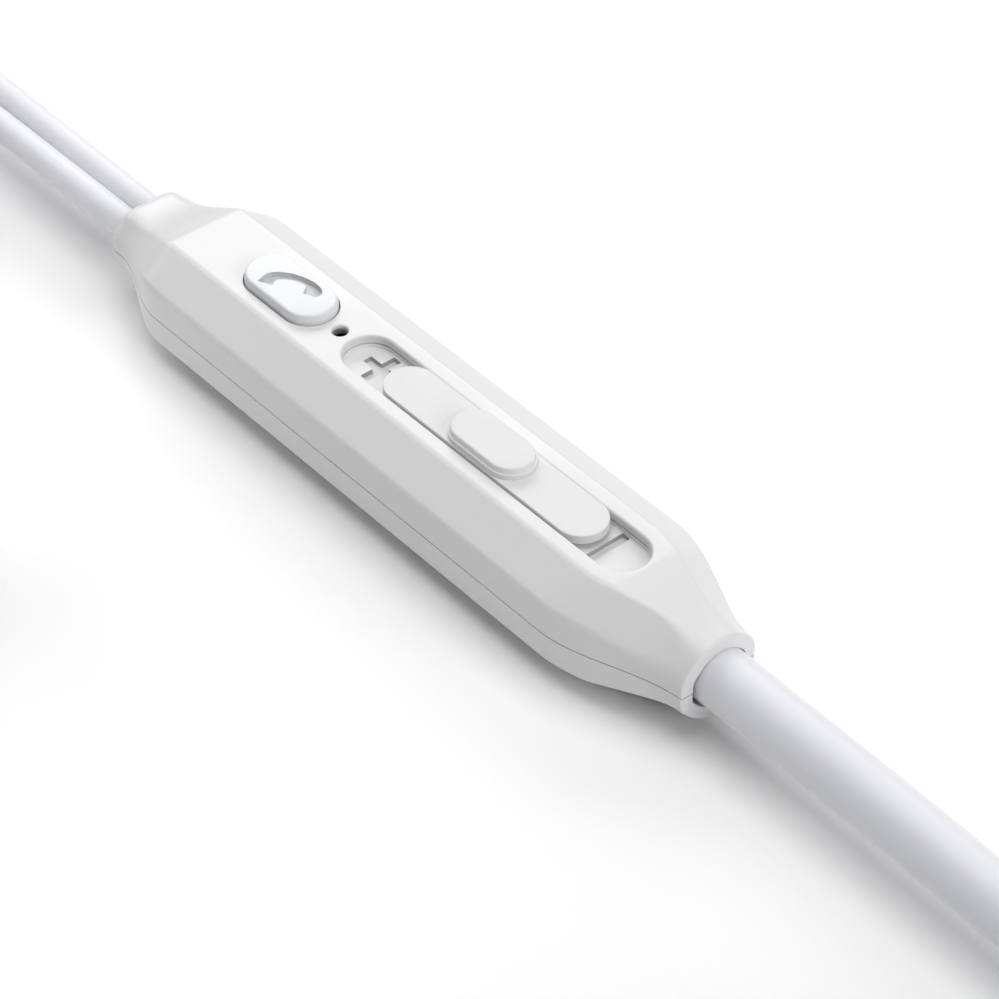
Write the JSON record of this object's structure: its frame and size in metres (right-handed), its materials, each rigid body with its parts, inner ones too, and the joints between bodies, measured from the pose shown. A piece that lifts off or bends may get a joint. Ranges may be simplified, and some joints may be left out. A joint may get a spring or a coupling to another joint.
{
  "type": "in-line remote earphones",
  "caption": "Wired stereo earphones with an in-line remote: call button, volume slider and microphone in a slim pod, put-away cords, plug and in-ear buds.",
  "frame": {"origin": "middle of the remote's flat back, which lies on the surface", "axes": "+X along the remote towards the plug's cord, -X towards the earbuds, +Z out of the button face"},
  "size_m": [0.194, 0.0282, 0.0153],
  "materials": {
    "shell": "satin-gloss moulded white plastic",
    "button": "smooth white plastic",
    "slider": "fine-grained matt white plastic",
    "tray": "matt white plastic",
    "cord": "smooth white elastomer jacket",
    "tie": "white silicone strap",
    "plug_metal": "polished plated contacts",
    "insulator": "moulded insulator",
    "ear_silicone": "soft translucent silicone",
    "mesh": "fine woven mesh",
    "inner_plastic": "moulded dark plastic",
    "board": "solder-masked board",
    "wire": "enamelled wire",
    "capsule": "drawn metal can",
    "diaphragm": "thin film",
    "magnet": "plated magnet"
  },
  "bodies": {
    "remote": {"upper_shell": "shell", "lower_shell": "shell", "plug_grip": "shell", "plug_strain_relief": "shell", "left_front_housing": "shell", "right_front_housing": "shell", "left_rear_cover": "shell", "right_rear_cover": "shell", "left_bud_strain_relief": "shell", "right_bud_strain_relief": "shell", "symbol_tray": "tray", "main_cord": "cord", "main_cord_hank": "cord", "main_cord_tail": "cord", "left_cord": "cord", "left_cord_hank": "cord", "left_cord_tail": "cord", "right_cord": "cord", "right_cord_hank": "cord", "right_cord_tail": "cord", "main_hank_tie": "tie", "ear_hank_tie": "tie", "plug_tip": "plug_metal", "plug_ring_left": "plug_metal", "plug_ring_right": "plug_metal", "plug_sleeve": "plug_metal", "plug_insulators": "insulator", "plug_core": "insulator", "left_ear_tip": "ear_silicone", "right_ear_tip": "ear_silicone", "microphone_boot": "ear_silicone", "left_nozzle_mesh": "mesh", "right_nozzle_mesh": "mesh", "call_switch": "inner_plastic", "volume_potentiometer": "inner_plastic", "ear_cord_clamp": "inner_plastic", "main_cord_clamp": "inner_plastic", "left_driver_frame": "inner_plastic", "right_driver_frame": "inner_plastic", "circuit_board": "board", "ear_wires": "wire", "main_wires": "wire", "microphone_capsule": "capsule", "left_driver_diaphragm": "diaphragm", "right_driver_diaphragm": "diaphragm", "left_driver_magnet": "magnet", "right_driver_magnet": "magnet"},
    "call_button": {"call_button": "button", "switch_plunger": "inner_plastic"},
    "volume_slider": {"slider_plate": "slider", "thumb_pad": "slider", "potentiometer_lever": "inner_plastic"}
  },
  "joints": [
    {"name": "call_press", "type": "slide", "parent": "remote", "child": "call_button", "axis": [0, 0, -1], "range_m": [0, 0.0003], "stiffness_N_per_m": 800},
    {"name": "volume_slide", "type": "slide", "parent": "remote", "child": "volume_slider", "axis": [1, 0, 0], "range_m": [-0.0026, 0.0025]}
  ]
}
